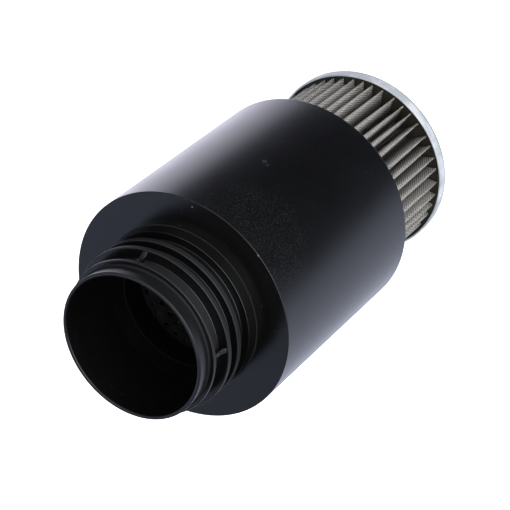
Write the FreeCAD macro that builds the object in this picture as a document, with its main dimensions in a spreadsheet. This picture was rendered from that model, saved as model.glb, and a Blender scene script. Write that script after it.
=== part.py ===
import FreeCAD, Part
import math
import os
import Sketcher

# A suction filter for a hydraulic tank, in millimetres. It stands on its end cap, with the ribbed
# neck up. Z runs along the axis, and the origin is the middle of the end cap's underside.

doc = FreeCAD.newDocument("tank_suction_filter")

# The driving sizes. Radii build up from the middle outwards, and levels from the end cap upwards, so
# a piece that fits in or on another takes its size from it.
SIZES = (
    # The core
    ("tube_bore", 69.6, "inside width of the perforated tube, between opposite flats"),
    ("tube_wall", 0.8, "sheet thickness of the perforated tube"),
    ("hole_diameter", 3.2, "one hole of the tube, across its corners"),
    ("holes_around", 17, "holes in one row of the tube"),
    ("hole_rows", 5, "rows of holes up the tube"),
    ("hole_row_spacing", 36.4, "from one row of holes to the next"),
    # The pleated mesh
    ("mesh_clearance", 0.45, "between the tube's flats and the inner folds"),
    ("mesh_length", 169.0, "length of the tube and of the pleats between the two beds of adhesive"),
    ("mesh_thickness", 1.0, "thickness of the layered wire cloth"),
    ("pleat_height", 12.85, "from the inner folds to the outer folds"),
    ("pleat_count", 46, "pleats round the element"),
    ("outer_fold_radius", 1.85, "outside radius of an outer fold"),
    ("inner_fold_radius", 1.25, "outside radius of an inner fold"),
    # The end cap and its adhesive
    ("rim_clearance", 1.6, "between the outer folds and the inside of the cap's rim"),
    ("cap_sheet", 1.0, "sheet thickness of the end cap"),
    ("cap_bend", 2.5, "size of the bend round the end cap's lower edge"),
    ("cap_potting_depth", 5.0, "adhesive in the end cap"),
    ("rim_freeboard", 1.2, "height of the rim above the adhesive"),
    # The housing's skirt and shoulder
    ("oil_gap", 8.9, "between the outer folds and the inside of the skirt"),
    ("skirt_wall", 2.2, "wall of the skirt"),
    ("housing_length", 118.7, "from the open end of the skirt to the shoulder face"),
    ("shoulder_thickness", 3.0, "thickness of the shoulder"),
    ("neck_potting_depth", 5.0, "adhesive under the shoulder"),
    ("potting_margin", 1.3, "how far the upper adhesive reaches past the outer folds"),
    # The throat that leads into the tube
    ("throat_clearance", 0.2, "between the throat ring and the inside of the tube"),
    ("throat_wall", 1.4, "wall of the throat ring"),
    ("throat_lap", 6.4, "how far the throat ring reaches into the tube"),
    ("cone_height", 8.0, "height of the cone between the bore and the throat"),
    ("cone_drop", 1.0, "how far the cone ends below the shoulder face"),
    # The neck
    ("neck_bore", 71.4, "bore of the neck"),
    ("spigot_wall", 2.0, "wall of the spigot at the mouth"),
    ("spigot_length", 8.4, "from the mouth to the front rib"),
    ("mouth_flare", 0.8, "how far the spigot widens on its way to the mouth, in radius"),
    ("relief_wall", 1.35, "wall under the relief groove"),
    ("relief_width", 7.3, "width of the relief groove"),
    ("front_rib_height", 3.4, "height of the front rib over the relief groove"),
    ("front_rib_width", 2.0, "width of the front rib"),
    ("land_height", 5.65, "height of the two seal ribs and the collar over the relief groove"),
    ("middle_rib_width", 2.6, "width of the middle rib"),
    ("rear_rib_width", 2.9, "width of the rear rib"),
    ("seal_groove_depth", 4.2, "depth of the two seal grooves"),
    ("front_seal_groove_width", 5.5, "width of the seal groove between the middle and the rear rib"),
    ("rear_seal_groove_width", 7.0, "width of the seal groove between the rear rib and the collar"),
    ("collar_height", 6.7, "height of the collar over the shoulder face"),
    ("web_count", 4, "webs across the relief groove"),
    ("web_thickness", 2.5, "thickness of one web"),
    ("web_drop", 0.3, "how far a web's ends stay below the ribs"),
    ("web_hollow", 1.0, "depth of the hollow in a web's top"),
    # The cutting outlines
    ("tool_overcut", 1.0, "how far a cutting outline reaches past the surface that it cuts"),
)

sheet = doc.addObject("Spreadsheet::Sheet", "sizes")
for row, (name, value, meaning) in enumerate(SIZES, start=1):
    sheet.set(f"A{row}", name)
    sheet.set(f"B{row}", str(value))
    sheet.setAlias(f"B{row}", name)
    sheet.set(f"C{row}", meaning)
doc.recompute()

# Radii and levels that several pieces share, as expressions on the sheet
TUBE_INSIDE = "sizes.tube_bore / 2"
TUBE_OUTSIDE = f"({TUBE_INSIDE} + sizes.tube_wall)"
PLEAT_INSIDE = f"({TUBE_OUTSIDE} + sizes.mesh_clearance)"
PLEAT_OUTSIDE = f"({PLEAT_INSIDE} + sizes.pleat_height)"
CAP_INSIDE = f"({PLEAT_OUTSIDE} + sizes.rim_clearance)"
CAP_OUTSIDE = f"({CAP_INSIDE} + sizes.cap_sheet)"
POTTING_OUTSIDE = f"({PLEAT_OUTSIDE} + sizes.potting_margin)"
SKIRT_INSIDE = f"({PLEAT_OUTSIDE} + sizes.oil_gap)"
SKIRT_OUTSIDE = f"({SKIRT_INSIDE} + sizes.skirt_wall)"
THROAT_OUTSIDE = f"({TUBE_INSIDE} - sizes.throat_clearance)"
THROAT_INSIDE = f"({THROAT_OUTSIDE} - sizes.throat_wall)"

NECK_BORE = "sizes.neck_bore / 2"
SPIGOT_OUTSIDE = f"({NECK_BORE} + sizes.spigot_wall)"
RELIEF_FLOOR = f"({NECK_BORE} + sizes.relief_wall)"
FRONT_RIB = f"({RELIEF_FLOOR} + sizes.front_rib_height)"
LAND = f"({RELIEF_FLOOR} + sizes.land_height)"
SEAL_FLOOR = f"({LAND} - sizes.seal_groove_depth)"

# The bend keeps the sheet's thickness, so the inside bend is the smaller one.
CAP_INSIDE_BEND = "(sizes.cap_bend - (2 - sqrt(2)) * sizes.cap_sheet)"

MESH_BOTTOM = "(sizes.cap_sheet + sizes.cap_potting_depth)"
MESH_TOP = f"({MESH_BOTTOM} + sizes.mesh_length)"
SHOULDER = f"({MESH_TOP} + sizes.neck_potting_depth + sizes.shoulder_thickness)"


def origin_feature(body, role):
    """One of the body's own planes or axes, such as XY_Plane or Z_Axis."""
    for feature in body.Origin.OriginFeatures:
        if feature.Role == role:
            return feature
    raise RuntimeError(f"{body.Label} has no {role}")


def new_body(label, level=None):
    """A body of its own, lifted to its level by an expression."""
    body = doc.addObject("PartDesign::Body", label)
    body.Label = label
    if level is not None:
        body.setExpression("Placement.Base.z", level)
    return body


def new_sketch(body, label, role):
    sketch = body.newObject("Sketcher::SketchObject", label)
    sketch.AttachmentSupport = [(origin_feature(body, role), "")]
    sketch.MapMode = "FlatFace"
    return sketch


def place_corner(sketch, geometry, end, name, across, up):
    """Holds one end of a line at its place in the sketch. None means on the sketch's own axis."""
    if across is None:
        sketch.addConstraint(Sketcher.Constraint("PointOnObject", geometry, end, -2))
    else:
        held = sketch.addConstraint(Sketcher.Constraint("DistanceX", -1, 1, geometry, end, 1.0))
        sketch.renameConstraint(held, f"{name}_across")
        sketch.setExpression(f"Constraints.{name}_across", across)
    if up is None:
        sketch.addConstraint(Sketcher.Constraint("PointOnObject", geometry, end, -1))
    else:
        held = sketch.addConstraint(Sketcher.Constraint("DistanceY", -1, 1, geometry, end, 1.0))
        sketch.renameConstraint(held, f"{name}_up")
        sketch.setExpression(f"Constraints.{name}_up", up)


def outline(body, label, corners):
    """A closed outline in the XZ plane. Each corner is its name, its radius and its level."""
    sketch = new_sketch(body, label, "XZ_Plane")
    count = len(corners)
    spots = [FreeCAD.Vector(5.0 + 2.0 * math.cos(2 * math.pi * place / count),
                            5.0 + 2.0 * math.sin(2 * math.pi * place / count), 0)
             for place in range(count)]
    for place in range(count):
        sketch.addGeometry(Part.LineSegment(spots[place], spots[(place + 1) % count]))
    for place in range(count):
        after = (place + 1) % count
        sketch.addConstraint(Sketcher.Constraint("Coincident", place, 2, after, 1))
    for place, (name, radius, level) in enumerate(corners):
        place_corner(sketch, place, 1, name, radius, level)
    return sketch


def mirrored_outline(body, label, top, half, bottom):
    """A closed outline in the XY plane, the same on both sides of the X axis.

    The top and the bottom lie on the axis, and the corners of one half run between them.
    """
    sketch = new_sketch(body, label, "XY_Plane")
    lines = len(half) + 1
    upper = [FreeCAD.Vector(5.0 + 2.0 * math.cos(math.pi * place / lines),
                            2.0 * math.sin(math.pi * place / lines), 0)
             for place in range(lines + 1)]
    lower = [FreeCAD.Vector(spot.x, -spot.y, 0) for spot in upper]
    for side in (upper, lower):
        for place in range(lines):
            sketch.addGeometry(Part.LineSegment(side[place], side[place + 1]))
    for place in range(lines - 1):
        sketch.addConstraint(Sketcher.Constraint("Coincident", place, 2, place + 1, 1))
        sketch.addConstraint(Sketcher.Constraint("Coincident", lines + place, 2, lines + place + 1, 1))
    sketch.addConstraint(Sketcher.Constraint("Coincident", 0, 1, lines, 1))
    sketch.addConstraint(Sketcher.Constraint("Coincident", lines - 1, 2, 2 * lines - 1, 2))
    for place, (name, across, up) in enumerate(half):
        place_corner(sketch, place, 2, name, across, up)
        sketch.addConstraint(Sketcher.Constraint("Symmetric", place, 2, lines + place, 2, -1))
    place_corner(sketch, 0, 1, "top", top, None)
    place_corner(sketch, lines - 1, 2, "bottom", bottom, None)
    return sketch


def turned(body, kind, label, sketch):
    """A Revolution or a Groove of an outline about the axis."""
    feature = body.newObject(f"PartDesign::{kind}", label)
    feature.Profile = sketch
    feature.ReferenceAxis = (sketch, ["V_Axis"])
    feature.Angle = 360.0
    sketch.Visibility = False
    return feature


def padded(body, label, sketch, length):
    """A Pad of a sketch, as long as the expression says."""
    pad = body.newObject("PartDesign::Pad", label)
    pad.Profile = sketch
    pad.setExpression("Length", length)
    sketch.Visibility = False
    return pad


def ring_of(body, label, original, count):
    """Repeats one feature round the axis."""
    ring = body.newObject("PartDesign::PolarPattern", label)
    ring.Originals = [original]
    ring.Axis = (origin_feature(body, "Z_Axis"), [""])
    ring.Angle = 360.0
    ring.setExpression("Occurrences", count)
    body.Tip = ring
    return ring


def prism(body, kind, label, role, sides, circumradius, height):
    """An additive or a subtractive prism that stands on one of the body's planes."""
    feature = body.newObject(f"PartDesign::{kind}Prism", label)
    feature.AttachmentSupport = [(origin_feature(body, role), "")]
    feature.MapMode = "FlatFace"
    feature.setExpression("Polygon", sides)
    feature.setExpression("Circumradius", circumradius)
    feature.setExpression("Height", height)
    body.Tip = feature
    return feature


def turn_in_place(feature, axis, angle):
    """Turns a prism about one of its own axes by an expression. The axis is set with an angle first."""
    feature.AttachmentOffset = FreeCAD.Placement(FreeCAD.Vector(0, 0, 0), FreeCAD.Rotation(axis, 5.0))
    feature.setExpression("AttachmentOffset.Rotation.Angle", angle)


def check_cut(body, label, before):
    """Stops the build when a cut has taken nothing away."""
    if body.Shape.Volume >= before:
        raise RuntimeError(f"{label} takes nothing away")


def seal_groove(body, label, low, high):
    """A groove turned into the neck for an O-ring, between two levels."""
    before = body.Shape.Volume
    top = f"({LAND} + sizes.tool_overcut)"
    corners = (
        ("floor_low", SEAL_FLOOR, low),
        ("top_low", top, low),
        ("top_high", top, high),
        ("floor_high", SEAL_FLOOR, high),
    )
    turned(body, "Groove", label, outline(body, f"{label}_outline", corners))
    doc.recompute()
    check_cut(body, label, before)


def end_cap():
    """A shallow dish pressed from plated sheet steel, with its rim up."""
    body = new_body("end_cap")
    rim = "sizes.cap_sheet + sizes.cap_potting_depth + sizes.rim_freeboard"
    corners = (
        ("middle_under", None, None),
        ("bend_under", f"{CAP_OUTSIDE} - sizes.cap_bend", None),
        ("bend_outside", CAP_OUTSIDE, "sizes.cap_bend"),
        ("rim_outside", CAP_OUTSIDE, rim),
        ("rim_inside", CAP_INSIDE, rim),
        ("bend_inside", CAP_INSIDE, f"sizes.cap_sheet + {CAP_INSIDE_BEND}"),
        ("bend_floor", f"{CAP_INSIDE} - {CAP_INSIDE_BEND}", "sizes.cap_sheet"),
        ("middle_floor", None, "sizes.cap_sheet"),
    )
    body.Tip = turned(body, "Revolution", "cap_dish", outline(body, "cap_outline", corners))
    return body


def cap_potting():
    """The adhesive cast in the end cap, which fills the dish to a little below its rim."""
    body = new_body("cap_potting", "sizes.cap_sheet")
    corners = (
        ("middle_under", None, None),
        ("bend_under", f"{CAP_INSIDE} - {CAP_INSIDE_BEND}", None),
        ("bend_outside", CAP_INSIDE, CAP_INSIDE_BEND),
        ("edge_top", CAP_INSIDE, "sizes.cap_potting_depth"),
        ("middle_top", None, "sizes.cap_potting_depth"),
    )
    body.Tip = turned(body, "Revolution", "cast_disc", outline(body, "disc_outline", corners))
    return body


def neck_potting():
    """The adhesive under the shoulder, round the throat ring and over the ends of the pleats."""
    body = new_body("neck_potting", MESH_TOP)
    corners = (
        ("inside_low", THROAT_OUTSIDE, None),
        ("outside_low", POTTING_OUTSIDE, None),
        ("outside_high", POTTING_OUTSIDE, "sizes.neck_potting_depth"),
        ("inside_high", THROAT_OUTSIDE, "sizes.neck_potting_depth"),
    )
    body.Tip = turned(body, "Revolution", "cast_ring", outline(body, "ring_outline", corners))
    return body


def perforated_tube():
    """The core of the element: perforated sheet steel rolled into a tube.

    The tube is drawn with two narrow flats to each hole of a row, so each hole lies in a flat.
    """
    body = new_body("perforated_tube", MESH_BOTTOM)
    flats = "2 * sizes.holes_around"
    half_flat = "90deg / sizes.holes_around"
    along = FreeCAD.Vector(0, 0, 1)
    for kind, label, radius in (("Additive", "rolled_sheet", TUBE_OUTSIDE),
                                ("Subtractive", "tube_bore", TUBE_INSIDE)):
        wall = prism(body, kind, label, "XY_Plane", flats, f"{radius} / cos({half_flat})",
                     "sizes.mesh_length")
        turn_in_place(wall, along, half_flat)
        doc.recompute()

    # The rows stand evenly about the middle of the tube, and every second row starts one flat on.
    margin = "(sizes.mesh_length - (sizes.hole_rows - 1) * sizes.hole_row_spacing) / 2"
    start = f"({TUBE_INSIDE} - sizes.tool_overcut)"
    depth = "sizes.tube_wall + 2 * sizes.tool_overcut"
    row_sets = (
        ("straight_rows", "0deg", margin, "ceil(sizes.hole_rows / 2)"),
        ("offset_rows", f"2 * {half_flat}", f"{margin} + sizes.hole_row_spacing",
         "floor(sizes.hole_rows / 2)"),
    )
    for label, turn, level, rows in row_sets:
        before = body.Shape.Volume
        hole = prism(body, "Subtractive", f"{label}_hole", "YZ_Plane", "6", "sizes.hole_diameter / 2", depth)
        turn_in_place(hole, FreeCAD.Vector(0, 1, 0), turn)
        hole.setExpression("AttachmentOffset.Base.x", f"{start} * sin({turn})")
        hole.setExpression("AttachmentOffset.Base.y", level)
        hole.setExpression("AttachmentOffset.Base.z", f"{start} * cos({turn})")
        doc.recompute()
        check_cut(body, hole.Label, before)

        before = body.Shape.Volume
        up = doc.addObject("PartDesign::LinearPattern", f"{label}_up")
        up.Direction = (origin_feature(body, "Z_Axis"), [""])
        up.Mode = "Spacing"
        up.setExpression("Offset", "2 * sizes.hole_row_spacing")
        up.setExpression("Occurrences", rows)
        around = doc.addObject("PartDesign::PolarPattern", f"{label}_around")
        around.Axis = (origin_feature(body, "Z_Axis"), [""])
        around.Angle = 360.0
        around.setExpression("Occurrences", "sizes.holes_around")
        repeats = body.newObject("PartDesign::MultiTransform", label)
        repeats.Originals = [hole]
        repeats.Transformations = [up, around]
        body.Tip = repeats
        doc.recompute()
        check_cut(body, label, before)
    return body


def pleated_mesh():
    """The filter mesh: layered wire cloth folded into pleats and closed into a ring.

    One pleat runs from the middle of one inner fold to the middle of the next. It is padded and
    repeated round the axis, and its folds are drawn as short flats.
    """
    body = new_body("pleated_mesh", MESH_BOTTOM)
    half_pitch = "180deg / sizes.pleat_count"
    crest = f"({PLEAT_OUTSIDE} - sizes.outer_fold_radius)"
    crest_inside = "(sizes.outer_fold_radius - sizes.mesh_thickness)"
    valley = f"({PLEAT_INSIDE} + sizes.inner_fold_radius)"
    valley_across = f"{valley} * cos({half_pitch})"
    valley_up = f"{valley} * sin({half_pitch})"
    valley_top = f"({PLEAT_INSIDE} + sizes.mesh_thickness)"
    half = (
        ("bevel", f"{crest} + sizes.outer_fold_radius * cos(45deg)", "sizes.outer_fold_radius * sin(45deg)"),
        ("flank_top", crest, "sizes.outer_fold_radius"),
        ("flank_foot", valley_across, f"{valley_up} - sizes.inner_fold_radius + sizes.mesh_thickness"),
        ("valley_top", f"{valley_top} * cos({half_pitch})", f"{valley_top} * sin({half_pitch})"),
        ("valley_floor", f"{PLEAT_INSIDE} * cos({half_pitch})", f"{PLEAT_INSIDE} * sin({half_pitch})"),
        ("inner_foot", valley_across, f"{valley_up} - sizes.inner_fold_radius"),
        ("inner_top", crest, crest_inside),
        ("inner_bevel", f"{crest} + {crest_inside} * cos(45deg)", f"{crest_inside} * sin(45deg)"),
    )
    sketch = mirrored_outline(body, "pleat_outline", PLEAT_OUTSIDE, half, f"{crest} + {crest_inside}")
    pleat = padded(body, "pleat", sketch, "sizes.mesh_length")
    doc.recompute()
    ring_of(body, "pleats", pleat, "sizes.pleat_count")
    return body


def housing():
    """One black moulding: the skirt, the shoulder, the throat ring and the ribbed neck."""
    shoulder = "sizes.housing_length"
    body = new_body("housing", f"{SHOULDER} - {shoulder}")
    ceiling = f"({shoulder} - sizes.shoulder_thickness)"
    throat_end = f"({ceiling} - sizes.neck_potting_depth - sizes.throat_lap)"
    cone_end = f"({shoulder} - sizes.cone_drop)"
    cone_start = f"({cone_end} + sizes.cone_height)"
    collar_top = f"({shoulder} + sizes.collar_height)"
    rear_rib_low = f"({collar_top} + sizes.rear_seal_groove_width)"
    rear_rib_top = f"({rear_rib_low} + sizes.rear_rib_width)"
    middle_rib_low = f"({rear_rib_top} + sizes.front_seal_groove_width)"
    middle_rib_top = f"({middle_rib_low} + sizes.middle_rib_width)"
    front_rib_low = f"({middle_rib_top} + sizes.relief_width)"
    front_rib_top = f"({front_rib_low} + sizes.front_rib_width)"
    mouth = f"({front_rib_top} + sizes.spigot_length)"
    corners = (
        ("mouth_inside", f"{NECK_BORE} + sizes.mouth_flare", mouth),
        ("mouth_outside", f"{SPIGOT_OUTSIDE} + sizes.mouth_flare", mouth),
        ("spigot_root", SPIGOT_OUTSIDE, front_rib_top),
        ("front_rib_top", FRONT_RIB, front_rib_top),
        ("front_rib_low", FRONT_RIB, front_rib_low),
        ("relief_top", RELIEF_FLOOR, front_rib_low),
        ("relief_low", RELIEF_FLOOR, middle_rib_top),
        ("land_top", LAND, middle_rib_top),
        ("land_foot", LAND, shoulder),
        ("shoulder_edge", SKIRT_OUTSIDE, shoulder),
        ("skirt_outside", SKIRT_OUTSIDE, None),
        ("skirt_inside", SKIRT_INSIDE, None),
        ("ceiling_edge", SKIRT_INSIDE, ceiling),
        ("throat_root", THROAT_OUTSIDE, ceiling),
        ("throat_outside", THROAT_OUTSIDE, throat_end),
        ("throat_inside", THROAT_INSIDE, throat_end),
        ("cone_end", THROAT_INSIDE, cone_end),
        ("cone_start", NECK_BORE, cone_start),
        ("flare_start", NECK_BORE, front_rib_top),
    )
    turned(body, "Revolution", "moulded_shell", outline(body, "shell_outline", corners))
    doc.recompute()
    seal_groove(body, "front_seal_groove", rear_rib_top, middle_rib_low)
    seal_groove(body, "rear_seal_groove", collar_top, rear_rib_low)

    # The webs stand across the relief groove. Their tops are hollow between the two ribs.
    rear_end = f"({LAND} - sizes.web_drop)"
    front_end = f"({FRONT_RIB} - sizes.web_drop)"
    hollow = f"(({rear_end} + {front_end}) / 2 - sizes.web_hollow)"
    foot = f"({RELIEF_FLOOR} - sizes.relief_wall / 2)"
    corners = (
        ("foot_low", foot, middle_rib_top),
        ("rear_end", rear_end, middle_rib_top),
        ("hollow", hollow, f"({middle_rib_top} + sizes.relief_width / 2)"),
        ("front_end", front_end, front_rib_low),
        ("foot_high", foot, front_rib_low),
    )
    web = padded(body, "web", outline(body, "web_outline", corners), "sizes.web_thickness")
    web.SideType = "Symmetric"
    doc.recompute()
    ring_of(body, "webs", web, "sizes.web_count")
    return body


nodes = (housing(), pleated_mesh(), perforated_tube(), end_cap(), cap_potting(), neck_potting())
doc.recompute()

for item in doc.Objects:
    if "Invalid" in item.State or "Error" in item.State:
        raise RuntimeError(f"{item.Label} didn't build")

os.makedirs("parts", exist_ok=True)
for node in nodes:
    if node.Shape.isNull() or not node.Shape.isValid() or len(node.Shape.Solids) != 1:
        raise RuntimeError(f"{node.Label} isn't one valid solid")
    node.Shape.exportStep(f"parts/{node.Label}.step")
    print(node.Label, round(node.Shape.Volume), "mm3")
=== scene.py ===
import math

import bmesh
import bpy
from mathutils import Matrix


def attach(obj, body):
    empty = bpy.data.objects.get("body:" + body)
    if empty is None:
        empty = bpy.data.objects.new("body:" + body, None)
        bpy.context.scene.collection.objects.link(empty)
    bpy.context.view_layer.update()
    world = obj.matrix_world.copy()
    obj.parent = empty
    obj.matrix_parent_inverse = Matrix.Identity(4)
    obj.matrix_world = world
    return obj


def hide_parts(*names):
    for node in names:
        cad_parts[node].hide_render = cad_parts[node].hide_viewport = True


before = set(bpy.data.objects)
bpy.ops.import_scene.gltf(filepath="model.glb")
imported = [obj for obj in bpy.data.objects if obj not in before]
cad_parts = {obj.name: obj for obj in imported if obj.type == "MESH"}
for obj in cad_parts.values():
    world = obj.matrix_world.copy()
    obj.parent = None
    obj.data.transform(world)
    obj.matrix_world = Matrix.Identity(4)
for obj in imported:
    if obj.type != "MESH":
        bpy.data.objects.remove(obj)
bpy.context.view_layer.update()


# The camera stands about a metre off and looks down on the neck. Its long lens is rolled, so the
# filter lies across the picture with its mouth at the lower left and its end cap at the upper right.

camera_spot = (0.45607, -0.46148, 0.83533)
camera_turns = (-29.943, 31.178, -93.055)
lens_length = 135.48

bpy.ops.object.select_all(action="DESELECT")
bpy.ops.object.camera_add(location=camera_spot, rotation=[math.radians(angle) for angle in camera_turns])
camera = bpy.context.object
camera.name = "camera"
camera.data.lens = lens_length
bpy.context.scene.camera = camera
bpy.context.scene.view_settings.view_transform = "Standard"


# The studio is a dim room with a pale wall and a lit screen behind the camera, and a pale wall beyond
# the filter. White paper glows under and behind the filter, most of all on one side. The table under
# the filter glows too, so no shadow shows on it.

class Signal:
    """One output socket of a node tree. Sums written with it add Math nodes."""

    def __init__(self, recipe, socket):
        self.recipe = recipe
        self.socket = socket

    def maths(self, operation, *others):
        terms = {place: term for place, term in enumerate((self,) + others)}
        return self.recipe.node("ShaderNodeMath", {"operation": operation}, terms)

    def __add__(self, other):
        return self.maths("ADD", other)

    def __sub__(self, other):
        return self.maths("SUBTRACT", other)

    def __rsub__(self, other):
        return self.maths("MULTIPLY", -1.0).maths("ADD", other)

    def __mul__(self, other):
        return self.maths("MULTIPLY", other)

    def __truediv__(self, other):
        return self.maths("DIVIDE", other)

    def __pow__(self, other):
        return self.maths("POWER", other)

    __radd__ = __add__
    __rmul__ = __mul__

    def between(self, start, end):
        """0 up to start and 1 from end on, with a soft passage. The start may be the higher value."""
        return self.recipe.node("ShaderNodeMapRange", {"interpolation_type": "SMOOTHSTEP"},
                                {"Value": self, "From Min": start, "From Max": end})


class Recipe:
    """The nodes of one finish, or of the studio."""

    def __init__(self, owner):
        owner.use_nodes = True
        self.tree = owner.node_tree
        self.tree.nodes.clear()

    def node(self, kind, settings=None, sockets=None, output=0):
        made = self.tree.nodes.new(kind)
        for name, value in (settings or {}).items():
            setattr(made, name, value)
        for name, value in (sockets or {}).items():
            if isinstance(value, Signal):
                self.tree.links.new(value.socket, made.inputs[name])
            else:
                made.inputs[name].default_value = value
        return Signal(self, made.outputs[output]) if made.outputs else None

    def place(self, axis=None):
        """The place on the piece in metres, or one of its three parts."""
        whole = self.node("ShaderNodeTexCoord", output="Object")
        if axis is None:
            return whole
        return self.node("ShaderNodeSeparateXYZ", None, {"Vector": whole}, "XYZ".index(axis))

    def off_axis(self):
        """How far the place lies from the filter's axis, in metres."""
        flat = self.node("ShaderNodeVectorMath", {"operation": "MULTIPLY"},
                         {0: self.place(), 1: (1.0, 1.0, 0.0)})
        return self.node("ShaderNodeVectorMath", {"operation": "LENGTH"}, {0: flat}, "Value")

    def grain(self, size, detail=2.0, roughness=0.5, where=None, stretch=(1.0, 1.0, 1.0)):
        """Cloudy noise with spots of about that size in metres."""
        where = self.node("ShaderNodeVectorMath", {"operation": "MULTIPLY"},
                          {0: where or self.place(), 1: stretch})
        return self.node("ShaderNodeTexNoise", None,
                         {"Vector": where, "Scale": 1.0 / size, "Detail": detail, "Roughness": roughness})

    def blend(self, share, first, second):
        """One colour passing into another."""
        return self.node("ShaderNodeMix", {"data_type": "RGBA"}, {0: share, 6: first, 7: second}, 2)

    def relief(self, height, depth, strength):
        """The normals of a surface with fine relief, its depth in metres."""
        return self.node("ShaderNodeBump", None,
                         {"Strength": strength, "Distance": depth, "Height": height})

    def surface(self, sockets):
        """The finish itself, from its colour, roughness and normals."""
        finish = self.node("ShaderNodeBsdfPrincipled", None, sockets)
        self.node("ShaderNodeOutputMaterial", None, {"Surface": finish})


room = Recipe(bpy.data.worlds.new("studio"))
bpy.context.scene.world = bpy.data.worlds["studio"]
outlook = room.node("ShaderNodeTexCoord", output="Generated")


def towards(azimuth, elevation):
    """How nearly a look into the studio points that way: 1 straight at it and 0 square to it."""
    flat = math.cos(math.radians(elevation))
    aim = (flat * math.cos(math.radians(azimuth)), flat * math.sin(math.radians(azimuth)),
           math.sin(math.radians(elevation)))
    return room.node("ShaderNodeVectorMath", {"operation": "DOT_PRODUCT"}, {0: outlook, 1: aim}, "Value")


def within(azimuth, elevation, outer, inner):
    """1 up to the inner angle from that way, and 0 past the outer one, in degrees."""
    return towards(azimuth, elevation).between(math.cos(math.radians(outer)), math.cos(math.radians(inner)))


bright_side = towards(azimuth=90, elevation=0)
paper = within(azimuth=152, elevation=-56, outer=62, inner=55)
paper_glow = 0.98 + 0.12 * bright_side + 0.72 * bright_side.between(0.35, 0.72)
paper_colour = room.blend(bright_side.between(-0.2, 0.6), (0.90, 0.97, 1.20, 1.0), (0.97, 0.96, 1.14, 1.0))

far_wall = 0.64 * within(azimuth=115, elevation=40, outer=31, inner=12)
near_wall = 1.05 * within(azimuth=-45, elevation=42, outer=78, inner=42)
lit_screen = 1.9 * within(azimuth=-68, elevation=22, outer=40, inner=25)
room_glow = 0.03 + far_wall + near_wall + lit_screen
near_side = towards(azimuth=-45, elevation=42).between(0.1, 0.4)
room_colour = room.blend(near_side, (0.84, 0.95, 1.28, 1.0), (0.97, 1.0, 1.06, 1.0))

lights = room.node("ShaderNodeBackground", None, {
    "Color": room.blend(paper, room_colour, paper_colour),
    "Strength": paper * paper_glow + (1.0 - paper) * room_glow,
})
room.node("ShaderNodeOutputWorld", None, {"Surface": lights})

bpy.ops.mesh.primitive_plane_add(size=6.0, location=(0.0, 0.0, 0.0))
floor = bpy.context.object
floor.name = "light_table"
table = bpy.data.materials.new("glowing_table")
glow = Recipe(table)
glow.surface({
    "Base Color": glow.blend(glow.grain(0.05), (0.90, 0.90, 0.90, 1.0), (0.93, 0.93, 0.93, 1.0)),
    "Roughness": 0.6,
    "Emission Color": (1.0, 1.0, 1.0, 1.0),
    "Emission Strength": 1.1,
})
floor.data.materials.append(table)
floor.visible_glossy = False
floor.visible_diffuse = False


# The end cap closes the bottom of the element. It is a shallow dish pressed from 1 mm sheet steel
# and zinc plated, with a low rim that stands round the ends of the pleats.

MM = 0.001
CAP_RADIUS = 51.5
CAP_HEIGHT = 7.55
RIM_INSIDE = 50.4
CAP_SHEET = 1.0
# The bend's rounding outside and inside, and that of the cut edge
BEND_OUTSIDE, BEND_INSIDE, CUT_EDGE = 2.6, 1.6, 0.35


def draw_line(name, spots):
    """A new piece that starts as one line, drawn from spot to spot in edit mode."""
    bpy.ops.object.select_all(action="DESELECT")
    bpy.ops.mesh.primitive_plane_add(size=MM, location=(0.0, 0.0, 0.0))
    piece = bpy.context.object
    piece.name = piece.data.name = name
    bpy.ops.object.mode_set(mode="EDIT")
    bpy.ops.mesh.merge(type="CENTER")
    bpy.ops.transform.translate(value=[part * MM for part in spots[0]])
    for here, there in zip(spots, spots[1:]):
        step = [(after - before) * MM for before, after in zip(here, there)]
        bpy.ops.mesh.extrude_region_move(TRANSFORM_OT_translate={"value": step})
    return piece


def draw_section(name, corners):
    """A new piece that starts as its section in XZ. A corner is its radius, level and rounding."""
    return draw_line(name, [(radius, 0.0, level) for radius, level, rounding in corners])


def pick(piece, wanted):
    """Selects the points of a piece in edit mode that pass a test of their place in millimetres."""
    bpy.ops.mesh.select_all(action="DESELECT")
    mesh = bmesh.from_edit_mesh(piece.data)
    for point in mesh.verts:
        point.select = bool(wanted(*(point.co / MM)))
    mesh.select_flush(True)
    bmesh.update_edit_mesh(piece.data)


def at(radius, level):
    """The test for one corner of an outline."""
    return lambda x, y, z: abs(x - radius) < 0.01 and abs(z - level) < 0.01


def round_corners(piece, corners, segments=4):
    """Rounds each corner of an outline that has a third number, its rounding."""
    for radius, level, rounding in corners:
        if rounding:
            pick(piece, at(radius, level))
            bpy.ops.mesh.bevel(affect="VERTICES", offset=rounding * MM, segments=segments)


def turn(piece, steps=256):
    """Turns the outline once round the axis, and closes the seam and the poles."""
    bpy.ops.mesh.select_all(action="SELECT")
    bpy.ops.mesh.spin(steps=steps, angle=2 * math.pi, center=(0.0, 0.0, 0.0), axis=(0.0, 0.0, 1.0))
    bpy.ops.mesh.select_all(action="SELECT")
    bpy.ops.mesh.remove_doubles(threshold=0.001 * MM)
    bpy.ops.mesh.normals_make_consistent(inside=False)


def finish_piece(piece, material, node, sharp=35):
    """Leaves edit mode, smooths the faces, and puts the piece in the place of its CAD node."""
    if piece.mode == "EDIT":
        bpy.ops.object.mode_set(mode="OBJECT")
    bpy.ops.object.select_all(action="DESELECT")
    piece.select_set(True)
    bpy.context.view_layer.objects.active = piece
    bpy.ops.object.shade_smooth_by_angle(angle=math.radians(sharp))
    bpy.ops.object.modifier_add(type="WEIGHTED_NORMAL")
    piece.modifiers[-1].keep_sharp = True
    bpy.ops.object.modifier_apply(modifier=piece.modifiers[-1].name)
    piece.data.materials.append(material)
    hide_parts(node)
    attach(piece, "root")


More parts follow.
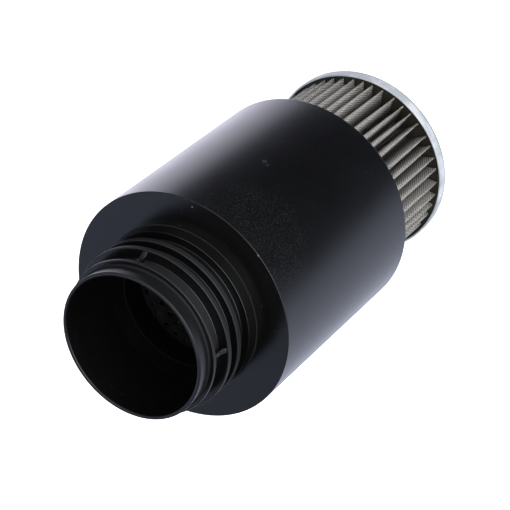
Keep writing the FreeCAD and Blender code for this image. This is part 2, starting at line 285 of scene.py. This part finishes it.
cap_corners = (
    (0.0, 0.0, 0.0), (CAP_RADIUS, 0.0, BEND_OUTSIDE), (CAP_RADIUS, CAP_HEIGHT, CUT_EDGE),
    (RIM_INSIDE, CAP_HEIGHT, CUT_EDGE), (RIM_INSIDE, CAP_SHEET, BEND_INSIDE), (0.0, CAP_SHEET, 0.0))
end_cap = draw_section("end_cap_dish", cap_corners)
round_corners(end_cap, cap_corners, segments=6)
turn(end_cap)

zinc = bpy.data.materials.new("zinc_plate")
plate = Recipe(zinc)
clouds = plate.grain(0.012, 2.0, 0.5)
rolling = plate.grain(0.00025, 2.0, 0.5, stretch=(0.12, 0.12, 1.0))
crystals = plate.grain(0.0006, 3.0, 0.7)
scratches = plate.grain(0.0004, 1.0, 0.5, stretch=(0.05, 1.0, 0.3)).between(0.70, 0.76)
# The lowest few millimetres, round the bend, are darker and rougher.
low_band = 1.0 - plate.place("Z").between(0.0012, 0.0034)
tint = plate.blend(clouds.between(0.42, 0.66), (0.66, 0.685, 0.70, 1.0), (0.95, 0.96, 0.96, 1.0))
scratched = plate.blend(scratches * 0.5, tint, (0.45, 0.47, 0.50, 1.0))
plate.surface({
    "Base Color": plate.blend(low_band * 0.95, scratched, (0.15, 0.165, 0.18, 1.0)),
    "Metallic": 0.3,
    "Specular IOR Level": 0.15,
    "Specular Tint": (0.62, 0.64, 0.68, 1.0),
    "Roughness": 0.30 + 0.16 * clouds + 0.10 * crystals + 0.2 * low_band,
    "Normal": plate.relief(rolling * 0.5 + crystals * 0.5, depth=0.00003, strength=0.35),
})
finish_piece(end_cap, zinc, "end_cap")


# The cap's adhesive is a dark olive resin, poured into the dish before the pleats are set in it.
# It creeps up the rim and the folds a little as it cures, so its surface isn't quite flat.

POUR_RADIUS = 50.5
POUR_LEVEL = 5.3

resin_corners = [(0.0, CAP_SHEET, 0.0), (POUR_RADIUS, CAP_SHEET, BEND_INSIDE)]
for reach, creep in ((POUR_RADIUS, 0.68), (50.0, 0.2), (49.2, 0.0), (45.0, 0.05), (36.5, 0.1),
                     (33.0, 0.0), (0.0, 0.0)):
    resin_corners.append((reach, POUR_LEVEL + creep, 0.0))
cap_resin = draw_section("cap_resin", resin_corners)
round_corners(cap_resin, resin_corners)
turn(cap_resin, steps=138)
pick(cap_resin, lambda x, y, z: z > POUR_LEVEL - 0.1 and 35.0 < math.hypot(x, y) < 50.3)
bpy.ops.transform.vertex_random(offset=0.22 * MM, uniform=0.0, normal=1.0, seed=7)

resin = bpy.data.materials.new("olive_resin")
pour = Recipe(resin)
skin = pour.grain(0.004, 4.0, 0.6)
# Pale specks are scattered over the resin.
pale_specks = pour.grain(0.0008, 2.0, 0.6).between(0.68, 0.74)
olive = pour.blend(skin, (0.018, 0.017, 0.011, 1.0), (0.045, 0.041, 0.028, 1.0))
pour.surface({
    "Base Color": pour.blend(pale_specks, olive, (0.14, 0.135, 0.12, 1.0)),
    "Roughness": 0.35 + 0.25 * skin,
    "Normal": pour.relief(skin, depth=0.0003, strength=0.4),
})
finish_piece(cap_resin, resin, "cap_potting")


# The core is thin steel sheet, punched with staggered rows of round holes and rolled into a tube.
# It stands in the adhesive at both ends and holds the pleats off the throat.

CORE_RADIUS = 35.6
CORE_SHEET = 0.8
HOLES_AROUND = 34
HOLE_ROWS = 26
HOLE_RADIUS = 1.6
ROW_PITCH = 6.25
# Levels of the lowest row of holes, and of both ends of the core and of the pleats
FIRST_ROW, MESH_BOTTOM, MESH_TOP = 13.4, 6.0, 175.0
# Where the core's seam stands, in degrees
SEAM = 3.9
hole_pitch = 2 * math.pi * CORE_RADIUS / HOLES_AROUND

# One hole is made in its own patch of sheet: the patch loses its middle, and what is left of it is
# bridged to a circle.
bpy.ops.object.select_all(action="DESELECT")
bpy.ops.mesh.primitive_grid_add(x_subdivisions=4, y_subdivisions=4, size=1.0, location=(0.0, 0.0, 0.0))
core = bpy.context.object
core.name = core.data.name = "punched_core"
bpy.ops.object.mode_set(mode="EDIT")
bpy.ops.transform.resize(value=(hole_pitch * MM, ROW_PITCH * MM, 1.0))
pick(core, lambda x, y, z: abs(x) < 0.45 * hole_pitch and abs(y) < 0.45 * ROW_PITCH)
bpy.ops.mesh.delete(type="VERT")
bpy.ops.mesh.select_all(action="DESELECT")
bpy.ops.mesh.primitive_circle_add(vertices=16, radius=HOLE_RADIUS * MM, fill_type="NOTHING",
                                 location=(0.0, 0.0, 0.0))
bpy.ops.mesh.select_all(action="SELECT")
bpy.ops.mesh.bridge_edge_loops()
# The second row stands half a pitch on.
bpy.ops.mesh.select_all(action="SELECT")
bpy.ops.mesh.duplicate_move(TRANSFORM_OT_translate={"value": (hole_pitch / 2 * MM, ROW_PITCH * MM, 0.0)})
bpy.ops.mesh.select_all(action="SELECT")
bpy.ops.transform.rotate(value=-math.pi / 2, orient_axis="X", center_override=(0.0, 0.0, 0.0))
bpy.ops.object.mode_set(mode="OBJECT")
for count, step in ((HOLES_AROUND, (hole_pitch * MM, 0.0, 0.0)),
                    (HOLE_ROWS // 2, (0.0, 0.0, 2 * ROW_PITCH * MM))):
    bpy.ops.object.modifier_add(type="ARRAY")
    copies = core.modifiers[-1]
    copies.count = count
    copies.use_relative_offset = False
    copies.use_constant_offset = True
    copies.constant_offset_displace = step
    copies.use_merge_vertices = True
    copies.merge_threshold = 0.01 * MM
    bpy.ops.object.modifier_apply(modifier=copies.name)

# The sheet is lengthened by its plain ends, rolled and welded, and then gets its thickness inwards. The
# stagger makes it half a pitch longer than the tube is round, so it is rolled by as much more.
bpy.ops.object.mode_set(mode="EDIT")
lowest, highest = -ROW_PITCH / 2, (HOLE_ROWS - 0.5) * ROW_PITCH
for edge, end in ((lowest, MESH_BOTTOM - FIRST_ROW), (highest, MESH_TOP - FIRST_ROW)):
    pick(core, lambda x, y, z: abs(z - edge) < 0.01)
    bpy.ops.mesh.extrude_region_move(TRANSFORM_OT_translate={"value": (0.0, 0.0, (end - edge) * MM)})
bpy.ops.object.mode_set(mode="OBJECT")
bpy.ops.object.modifier_add(type="SIMPLE_DEFORM")
roll = core.modifiers[-1]
roll.deform_method = "BEND"
roll.deform_axis = "Z"
roll.angle = 2 * math.pi * (HOLES_AROUND + 0.5) / HOLES_AROUND
bpy.ops.object.modifier_apply(modifier=roll.name)
bpy.ops.object.mode_set(mode="EDIT")
bpy.ops.mesh.select_all(action="SELECT")
bpy.ops.mesh.remove_doubles(threshold=0.01 * MM)
bpy.ops.transform.translate(value=(0.0, -CORE_RADIUS * MM, FIRST_ROW * MM))
bpy.ops.transform.rotate(value=math.radians(SEAM), orient_axis="Z", center_override=(0.0, 0.0, 0.0))
bpy.ops.object.mode_set(mode="OBJECT")


def thicken(piece, wall):
    """Gives a sheet its thickness, away from the side that its faces show."""
    bpy.ops.object.modifier_add(type="SOLIDIFY")
    shell = piece.modifiers[-1]
    shell.thickness = wall * MM
    shell.offset = -1.0
    bpy.ops.object.modifier_apply(modifier=shell.name)


def face_outwards(piece):
    """Turns all faces of an open tube about the axis outwards."""
    face = max(piece.data.polygons, key=lambda face: math.hypot(*face.center[:2]))
    if face.normal.x * face.center.x + face.normal.y * face.center.y < 0:
        bpy.ops.object.mode_set(mode="EDIT")
        bpy.ops.mesh.select_all(action="SELECT")
        bpy.ops.mesh.flip_normals()
        bpy.ops.object.mode_set(mode="OBJECT")


face_outwards(core)
thicken(core, CORE_SHEET)

steel = bpy.data.materials.new("core_steel")
sheet = Recipe(steel)
oil = sheet.grain(0.008, 4.0, 0.6)
mill = sheet.grain(0.0005, 2.0, 0.6, stretch=(1.0, 1.0, 0.15))
sheet.surface({
    "Base Color": sheet.blend(oil, (0.19, 0.19, 0.195, 1.0), (0.31, 0.31, 0.315, 1.0)),
    "Metallic": 1.0,
    "Roughness": 0.42 + 0.15 * oil,
    "Normal": sheet.relief(mill, depth=0.00003, strength=0.3),
})
finish_piece(core, steel, "perforated_tube", sharp=30)


# The filter mesh is stainless wire cloth, folded into 46 deep pleats and closed into a ring. The
# pleats were set by hand, so their spacing wanders, and each end is pinched where it enters the resin.

PLEATS = 46
CLOTH = 0.6
FOLDS_OUTSIDE, FOLDS_INSIDE = 48.9, 36.05
CREST_ROUND, VALLEY_ROUND = 1.85, 1.25
WEFT_PITCH, WARP_PITCH = 1.18, 1.1
half_pitch = math.pi / PLEATS
# Where the crests stand at the end cap, in degrees, on the side that was measured
crests = [31.2, 23.5, 16.4, 9.0, 1.2, -5.9, -12.4, -20.1, -28.9, -36.6, -43.3, -51.0, -60.4, -67.4, -75.4,
          -83.1, -92.4, -101.4, -109.4, -117.2, -127.1]
spare = PLEATS - len(crests) + 1
step = (crests[-1] + 360.0 - crests[0]) / spare
crests += [crests[-1] - step * place for place in range(1, spare)]

# Half of a pleat's outline runs along the cloth's outer face, from the crest to the inner fold. The other
# half mirrors it.
crest, valley = FOLDS_OUTSIDE - CREST_ROUND, FOLDS_INSIDE + VALLEY_ROUND
valley_round = VALLEY_ROUND - CLOTH
half = [(crest + CREST_ROUND * math.cos(bow), CREST_ROUND * math.sin(bow)) for bow in
        [math.radians(angle) for angle in (0.0, 15.0, 30.0, 45.0, 60.0, 75.0, 90.0)]]
foot = (valley * math.cos(half_pitch), valley * math.sin(half_pitch))
half += [(foot[0] - valley_round * math.sin(bow), foot[1] - valley_round * math.cos(bow)) for bow in
         [math.radians(angle) for angle in (0.0, 30.0, 60.0, 86.0)]]
path = [(x, -y, MESH_BOTTOM) for x, y in reversed(half[1:])] + [(x, y, MESH_BOTTOM) for x, y in half]
pleat = draw_line("pleat", path)

# The cloth is drawn up from the resin, row by row, then laid out flat as its own map. A row is its level
# and how wide the outer fold is there, as a share of its full width.
rows = ((MESH_BOTTOM, 0.08), (7.0, 0.10), (8.0, 0.13), (9.5, 0.18), (11.0, 0.23), (13.0, 0.29),
        (15.0, 0.36), (18.0, 0.43), (22.0, 0.50), (28.0, 0.58), (36.0, 0.67), (48.0, 0.76), (64.0, 0.85),
        (90.0, 0.9), (120.0, 0.9), (150.0, 0.85), (164.0, 0.7), (170.0, 0.5), (MESH_TOP, 0.3))
low = MESH_BOTTOM
for level, share in rows[1:]:
    pick(pleat, lambda x, y, z: abs(z - low) < 0.01)
    bpy.ops.mesh.extrude_region_move(TRANSFORM_OT_translate={"value": (0.0, 0.0, (level - low) * MM)})
    low = level
bpy.ops.object.mode_set(mode="OBJECT")
run = [0.0]
for here, there in zip(path, path[1:]):
    run.append(run[-1] + math.dist(here, there))
cloth_map = pleat.data.uv_layers.new(name="cloth")
for corner in pleat.data.loops:
    x, y, z = pleat.data.vertices[corner.vertex_index].co / MM
    nearest = min(range(len(path)), key=lambda place: math.dist(path[place][:2], (x, y)))
    cloth_map.data[corner.index].uv = (run[nearest] * MM, z * MM)

# The outer fold is pinched at both ends, and opens out slowly from the cap to the middle.
bpy.ops.object.mode_set(mode="EDIT")
for level, share in rows:
    pick(pleat, lambda x, y, z: abs(z - level) < 0.01 and x > crest - 0.1)
    bpy.ops.transform.resize(value=(1.0, share, 1.0), center_override=(crest * MM, 0.0, level * MM))
bpy.ops.object.mode_set(mode="OBJECT")

# Each pleat is a copy. Its two inner folds are turned until they meet those of its neighbours.
inner_reach = 39.0
ring = []
for place, here in enumerate(crests):
    before, after = crests[place - 1], crests[(place + 1) % PLEATS]
    bpy.ops.object.select_all(action="DESELECT")
    pleat.select_set(True)
    bpy.context.view_layer.objects.active = pleat
    bpy.ops.object.duplicate()
    copy = bpy.context.object
    bpy.ops.object.mode_set(mode="EDIT")
    for side, other in ((1, before), (-1, after)):
        gap = math.radians((side * (other - here)) % 360.0) / 2 - half_pitch
        pick(copy, lambda x, y, z: x < inner_reach and side * y > 0)
        bpy.ops.transform.rotate(value=-side * gap, orient_axis="Z", center_override=(0.0, 0.0, 0.0))
    bpy.ops.mesh.select_all(action="SELECT")
    bpy.ops.transform.rotate(value=-math.radians(here), orient_axis="Z", center_override=(0.0, 0.0, 0.0))
    bpy.ops.object.mode_set(mode="OBJECT")
    ring.append(copy)
bpy.data.objects.remove(pleat)
for copy in ring:
    copy.select_set(True)
bpy.context.view_layer.objects.active = ring[0]
bpy.ops.object.join()
mesh_ring = bpy.context.object
mesh_ring.name = mesh_ring.data.name = "pleated_wire_cloth"
bpy.ops.object.mode_set(mode="EDIT")
bpy.ops.mesh.select_all(action="SELECT")
bpy.ops.mesh.remove_doubles(threshold=0.2 * MM)
bpy.ops.mesh.normals_make_consistent(inside=False)
bpy.ops.object.mode_set(mode="OBJECT")
face_outwards(mesh_ring)
thicken(mesh_ring, CLOTH)

wire = bpy.data.materials.new("woven_wire")
weave = Recipe(wire)
laid_flat = weave.node("ShaderNodeUVMap", {"uv_map": "cloth"})
across = weave.node("ShaderNodeSeparateXYZ", None, {"Vector": laid_flat}, 0)
up = weave.node("ShaderNodeSeparateXYZ", None, {"Vector": laid_flat}, 1)
# The thick weft wires run round the pleats, and the warp goes over every other one.
row = up / (WEFT_PITCH * MM)
lay = (row.maths("FLOOR") * 0.5).maths("FRACT")
bend = ((across / (WARP_PITCH * MM) + lay).maths("FRACT") - 0.5).maths("ABSOLUTE") * 2.0
hump = (row.maths("FRACT") - 0.5).maths("ABSOLUTE") * 2.0
rib = (1.0 - hump * hump).maths("SQRT")
thread = rib * (0.35 + 0.65 * bend.between(1.0, 0.15))
stain = weave.grain(0.009, 4.0, 0.6)
# Pale flecks are scattered over the wire.
pale_flecks = weave.grain(0.0007, 1.0, 0.5).between(0.735, 0.76)
shine = weave.blend(stain, (0.76, 0.71, 0.63, 1.0), (0.97, 0.92, 0.84, 1.0))
# Painted shade: the cloth's colour is made darker down in the folds, and darkest in the gaps between its
# wires.
depth = weave.off_axis().between(0.0385, 0.0490) ** 1.4
crown_with_fold_shade = weave.blend(depth, (0.12, 0.108, 0.095, 1.0), shine)
wires_with_gap_shade = weave.blend(thread.between(0.36, 0.82), (0.02, 0.018, 0.015, 1.0), crown_with_fold_shade)
weave.surface({
    "Base Color": weave.blend(pale_flecks, wires_with_gap_shade, (0.75, 0.74, 0.70, 1.0)),
    "Metallic": 0.15,
    "Roughness": 0.50 - 0.10 * thread,
    "Normal": weave.relief(thread, depth=0.00024, strength=1.0),
})
finish_piece(mesh_ring, wire, "pleated_mesh", sharp=50)


# The upper adhesive is the same resin, cast between the housing's shoulder and the ends of the
# pleats. It shows only from below, through the oil gap.

BED_RADIUS = 50.2
THROAT_OUTSIDE = 34.6
CEILING = 180.0


def close_line(piece, first, last):
    """Joins the two ends of an outline."""
    pick(piece, lambda x, y, z: at(*first)(x, y, z) or at(*last)(x, y, z))
    bpy.ops.mesh.edge_face_add()


bed_corners = ((THROAT_OUTSIDE, MESH_TOP, 0.0), (48.5, MESH_TOP, 0.4), (BED_RADIUS, 176.2, 0.6),
               (BED_RADIUS, CEILING, 0.0), (THROAT_OUTSIDE, CEILING, 0.0))
neck_resin = draw_section("neck_resin", bed_corners)
round_corners(neck_resin, bed_corners)
close_line(neck_resin, (THROAT_OUTSIDE, MESH_TOP), (THROAT_OUTSIDE, CEILING))
turn(neck_resin, steps=138)
finish_piece(neck_resin, resin, "neck_potting")


# The housing is one black moulding of filled plastic: a plain skirt round the element, a flat
# shoulder, and a neck with a collar, two seal grooves, three ribs and a thin spigot at the mouth.

# Radii in millimetres: skirt, then the land that the collar and two ribs share, their grooves, the front
# rib, the foot of the spigot, its mouth, the bore and the throat
SKIRT_OUTSIDE, SKIRT_INSIDE = 60.0, 57.8
LAND, SEAL_GROOVE, RELIEF_GROOVE = 42.7, 38.5, 37.05
FRONT_RIB, SPIGOT_FOOT = 40.45, 37.7
MOUTH_OUTSIDE, MOUTH_INSIDE = 38.5, 36.5
BORE, THROAT = 35.7, 33.2
# Levels, from the open end of the skirt up to the mouth
SKIRT_END, THROAT_END = 64.3, 168.6
CONE_END, CONE_START = 182.0, 190.0
SHOULDER, COLLAR_TOP = 183.0, 189.7
REAR_RIB_FOOT, REAR_RIB_TOP = 196.7, 199.6
MIDDLE_RIB_FOOT, MIDDLE_RIB_TOP = 205.1, 207.7
FRONT_RIB_FOOT, FRONT_RIB_TOP = 215.0, 217.0
MOUTH = 225.4

shell_corners = (
    (SKIRT_INSIDE, SKIRT_END, 0.5), (SKIRT_OUTSIDE, SKIRT_END, 0.6), (SKIRT_OUTSIDE, SHOULDER, 0.3),
    (LAND, SHOULDER, 0.2), (LAND, COLLAR_TOP, 0.35), (SEAL_GROOVE, COLLAR_TOP, 0.4),
    (SEAL_GROOVE, REAR_RIB_FOOT, 0.4), (LAND, REAR_RIB_FOOT, 0.3), (LAND, REAR_RIB_TOP, 0.4),
    (SEAL_GROOVE, REAR_RIB_TOP, 0.4), (SEAL_GROOVE, MIDDLE_RIB_FOOT, 0.4), (LAND, MIDDLE_RIB_FOOT, 0.3),
    (LAND, MIDDLE_RIB_TOP, 0.4), (RELIEF_GROOVE, MIDDLE_RIB_TOP, 0.5), (RELIEF_GROOVE, FRONT_RIB_FOOT, 0.5),
    (FRONT_RIB, FRONT_RIB_FOOT, 0.3), (FRONT_RIB, FRONT_RIB_TOP, 0.4), (SPIGOT_FOOT, FRONT_RIB_TOP, 0.6),
    (MOUTH_OUTSIDE, MOUTH, 0.6), (MOUTH_INSIDE, MOUTH, 0.6), (BORE, FRONT_RIB_TOP, 0.0),
    (BORE, CONE_START, 0.4), (THROAT, CONE_END, 0.4), (THROAT, THROAT_END, 0.4),
    (THROAT_OUTSIDE, THROAT_END, 0.4), (THROAT_OUTSIDE, CEILING, 0.3), (SKIRT_INSIDE, CEILING, 1.2))
housing = draw_section("moulded_housing", shell_corners)
close_line(housing, (SKIRT_INSIDE, SKIRT_END), (SKIRT_INSIDE, CEILING))
round_corners(housing, shell_corners)
turn(housing, steps=288)
bpy.ops.object.mode_set(mode="OBJECT")

# Four thin webs stand across the groove behind the front rib. Their tops dip between the two ribs, and
# they run a little way into the ribs and the groove's floor.
WEBS = 4
WEB_WIDTH = 2.5
web_floor = RELIEF_GROOVE - 0.65
web_back, web_front = MIDDLE_RIB_TOP - 0.5, FRONT_RIB_FOOT + 0.5
# The radius of a web's top, and how far along from the back it is, as a share of the web's length
dip = ((42.4, 0.0), (41.2, 0.15), (40.5, 0.33), (40.1, 0.52), (39.95, 0.71), (40.05, 0.87), (40.3, 1.0))
web_top = [(radius, -WEB_WIDTH / 2, web_back + (web_front - web_back) * share) for radius, share in dip]
parts = [housing]
for place in range(WEBS):
    web = draw_line("web", [(web_floor, -WEB_WIDTH / 2, web_back)] + web_top
                    + [(web_floor, -WEB_WIDTH / 2, web_front)])
    close_line(web, (web_floor, web_back), (web_floor, web_front))
    bpy.ops.mesh.select_all(action="SELECT")
    bpy.ops.mesh.edge_face_add()
    bpy.ops.mesh.extrude_region_move(TRANSFORM_OT_translate={"value": (0.0, WEB_WIDTH * MM, 0.0)})
    bpy.ops.mesh.select_all(action="SELECT")
    bpy.ops.mesh.normals_make_consistent(inside=False)
    bpy.ops.mesh.bevel(offset=0.35 * MM, segments=3, affect="EDGES")
    bpy.ops.transform.rotate(value=-place * 2 * math.pi / WEBS, orient_axis="Z",
                             center_override=(0.0, 0.0, 0.0))
    bpy.ops.object.mode_set(mode="OBJECT")
    parts.append(web)
bpy.ops.object.select_all(action="DESELECT")
for part in parts:
    part.select_set(True)
bpy.context.view_layer.objects.active = housing
bpy.ops.object.join()

plastic = bpy.data.materials.new("black_plastic")
mould = Recipe(plastic)
fine = mould.grain(0.0006, 3.0, 0.65)
broad = mould.grain(0.02, 4.0, 0.6)
speck = mould.grain(0.0009, 1.0, 0.5).between(0.74, 0.80)
radius = mould.off_axis() / MM
height = mould.place("Z") / MM

# The ribs' crests, the floor behind the front rib, the spigot and the throat's edge are rubbed dull. Their
# colour is also made lighter there: a painted sheen on the crests, the floor and the spigot, and a painted
# highlight line at the throat's edge.
crest_wear_and_sheen = radius.between(LAND - 0.7, LAND - 0.3) * radius.between(LAND + 1.3, LAND + 0.3) * (
    height.between(REAR_RIB_FOOT - 1.2, REAR_RIB_FOOT + 0.3))
front_rib = radius.between(FRONT_RIB - 0.55, FRONT_RIB - 0.25)
relief_floor = radius.between(RELIEF_GROOVE - 0.85, RELIEF_GROOVE - 0.25) - (
    radius.between(RELIEF_GROOVE + 0.35, RELIEF_GROOVE + 1.15))
front_wear_and_sheen = (front_rib + relief_floor) * height.between(MIDDLE_RIB_TOP + 0.2, MIDDLE_RIB_TOP + 0.8) * (
    height.between(FRONT_RIB_TOP + 0.2, FRONT_RIB_TOP - 0.4))
spigot_wear_and_sheen = height.between(FRONT_RIB_TOP + 0.2, FRONT_RIB_TOP + 1.0) * (
    radius.between(SPIGOT_FOOT - 0.6, SPIGOT_FOOT - 0.3))
throat_wear_and_highlight = radius.between(THROAT + 0.8, THROAT + 0.3) * (
    height.between(CONE_END - 0.8, CONE_END - 0.3) * height.between(CONE_END + 0.8, CONE_END + 0.2))
rubbed_and_painted_sheen = (crest_wear_and_sheen + front_wear_and_sheen + 0.5 * (spigot_wear_and_sheen + throat_wear_and_highlight)) * (0.75 + 0.5 * fine)

# The inner corners at the feet of the collar and the spigot have no gloss, and the skirt's front edge is
# hazy.
collar_foot = radius.between(LAND - 0.3, LAND - 0.1) * radius.between(LAND + 0.9, LAND + 0.3) * (
    height.between(SHOULDER + 0.6, SHOULDER + 0.2))
spigot_foot = radius.between(SPIGOT_FOOT - 1.1, SPIGOT_FOOT - 0.7)
spigot_foot *= radius.between(SPIGOT_FOOT + 1.3, SPIGOT_FOOT + 0.7)
spigot_foot *= height.between(FRONT_RIB_TOP - 0.4, FRONT_RIB_TOP - 0.1)
spigot_foot *= height.between(FRONT_RIB_TOP + 1.0, FRONT_RIB_TOP + 0.5)
outside = radius.between(SKIRT_OUTSIDE - 1.0, SKIRT_OUTSIDE - 0.2)
haze = outside * height.between(SHOULDER - 19.0, SHOULDER + 1.0) * (0.6 + 0.8 * broad)


def mark(x, y, z, size):
    """A blemish round one spot, in millimetres."""
    away = mould.node("ShaderNodeVectorMath", {"operation": "DISTANCE"},
                      {0: mould.place(), 1: (x * MM, y * MM, z * MM)}, "Value")
    return away.between(size * MM, 0.4 * size * MM)


# Dust has settled on one side near the shoulder. The skirt has a small smudge, and its front edge a nick.
settled = mould.grain(0.00036, 1.0, 0.5).between(0.56, 0.72) * mark(44.6, -40.1, 174.0, 46.0) * outside
smudge = mark(57.3, -17.6, 129.2, 1.9) * (0.4 + 0.8 * fine) + mark(56.6, -20.2, 130.6, 1.3) * 0.6
nick = mark(38.6, -45.7, 183.2, 0.8) + mark(55.8, -10.8, 183.0, 0.6)
dirt = settled * (0.35 + 0.5 * broad) + 0.5 * smudge
black = mould.blend(broad, (0.0028, 0.0027, 0.0026, 1.0), (0.0040, 0.0039, 0.0037, 1.0))
# Lighter where rubbed: partly real dull wear, partly painted sheen and highlight.
worn_and_sheen_colour = mould.blend(rubbed_and_painted_sheen * 0.6, black, (0.022, 0.0225, 0.0235, 1.0))
hazy = mould.blend(haze * 0.22, worn_and_sheen_colour, (0.012, 0.012, 0.0125, 1.0))
specked = mould.blend(speck, hazy, (0.035, 0.035, 0.035, 1.0))
dusty = mould.blend(dirt, specked, (0.050, 0.049, 0.048, 1.0))
gloss = 0.17 + 0.08 * broad + 0.06 * fine
mould.surface({
    "Base Color": mould.blend(nick, dusty, (0.14, 0.14, 0.15, 1.0)),
    "Roughness": gloss + 0.25 * rubbed_and_painted_sheen + 0.12 * dirt + 0.45 * (collar_foot + spigot_foot),
    "Normal": mould.relief(fine, depth=0.00003, strength=0.4),
})
finish_piece(housing, plastic, "housing", sharp=40)
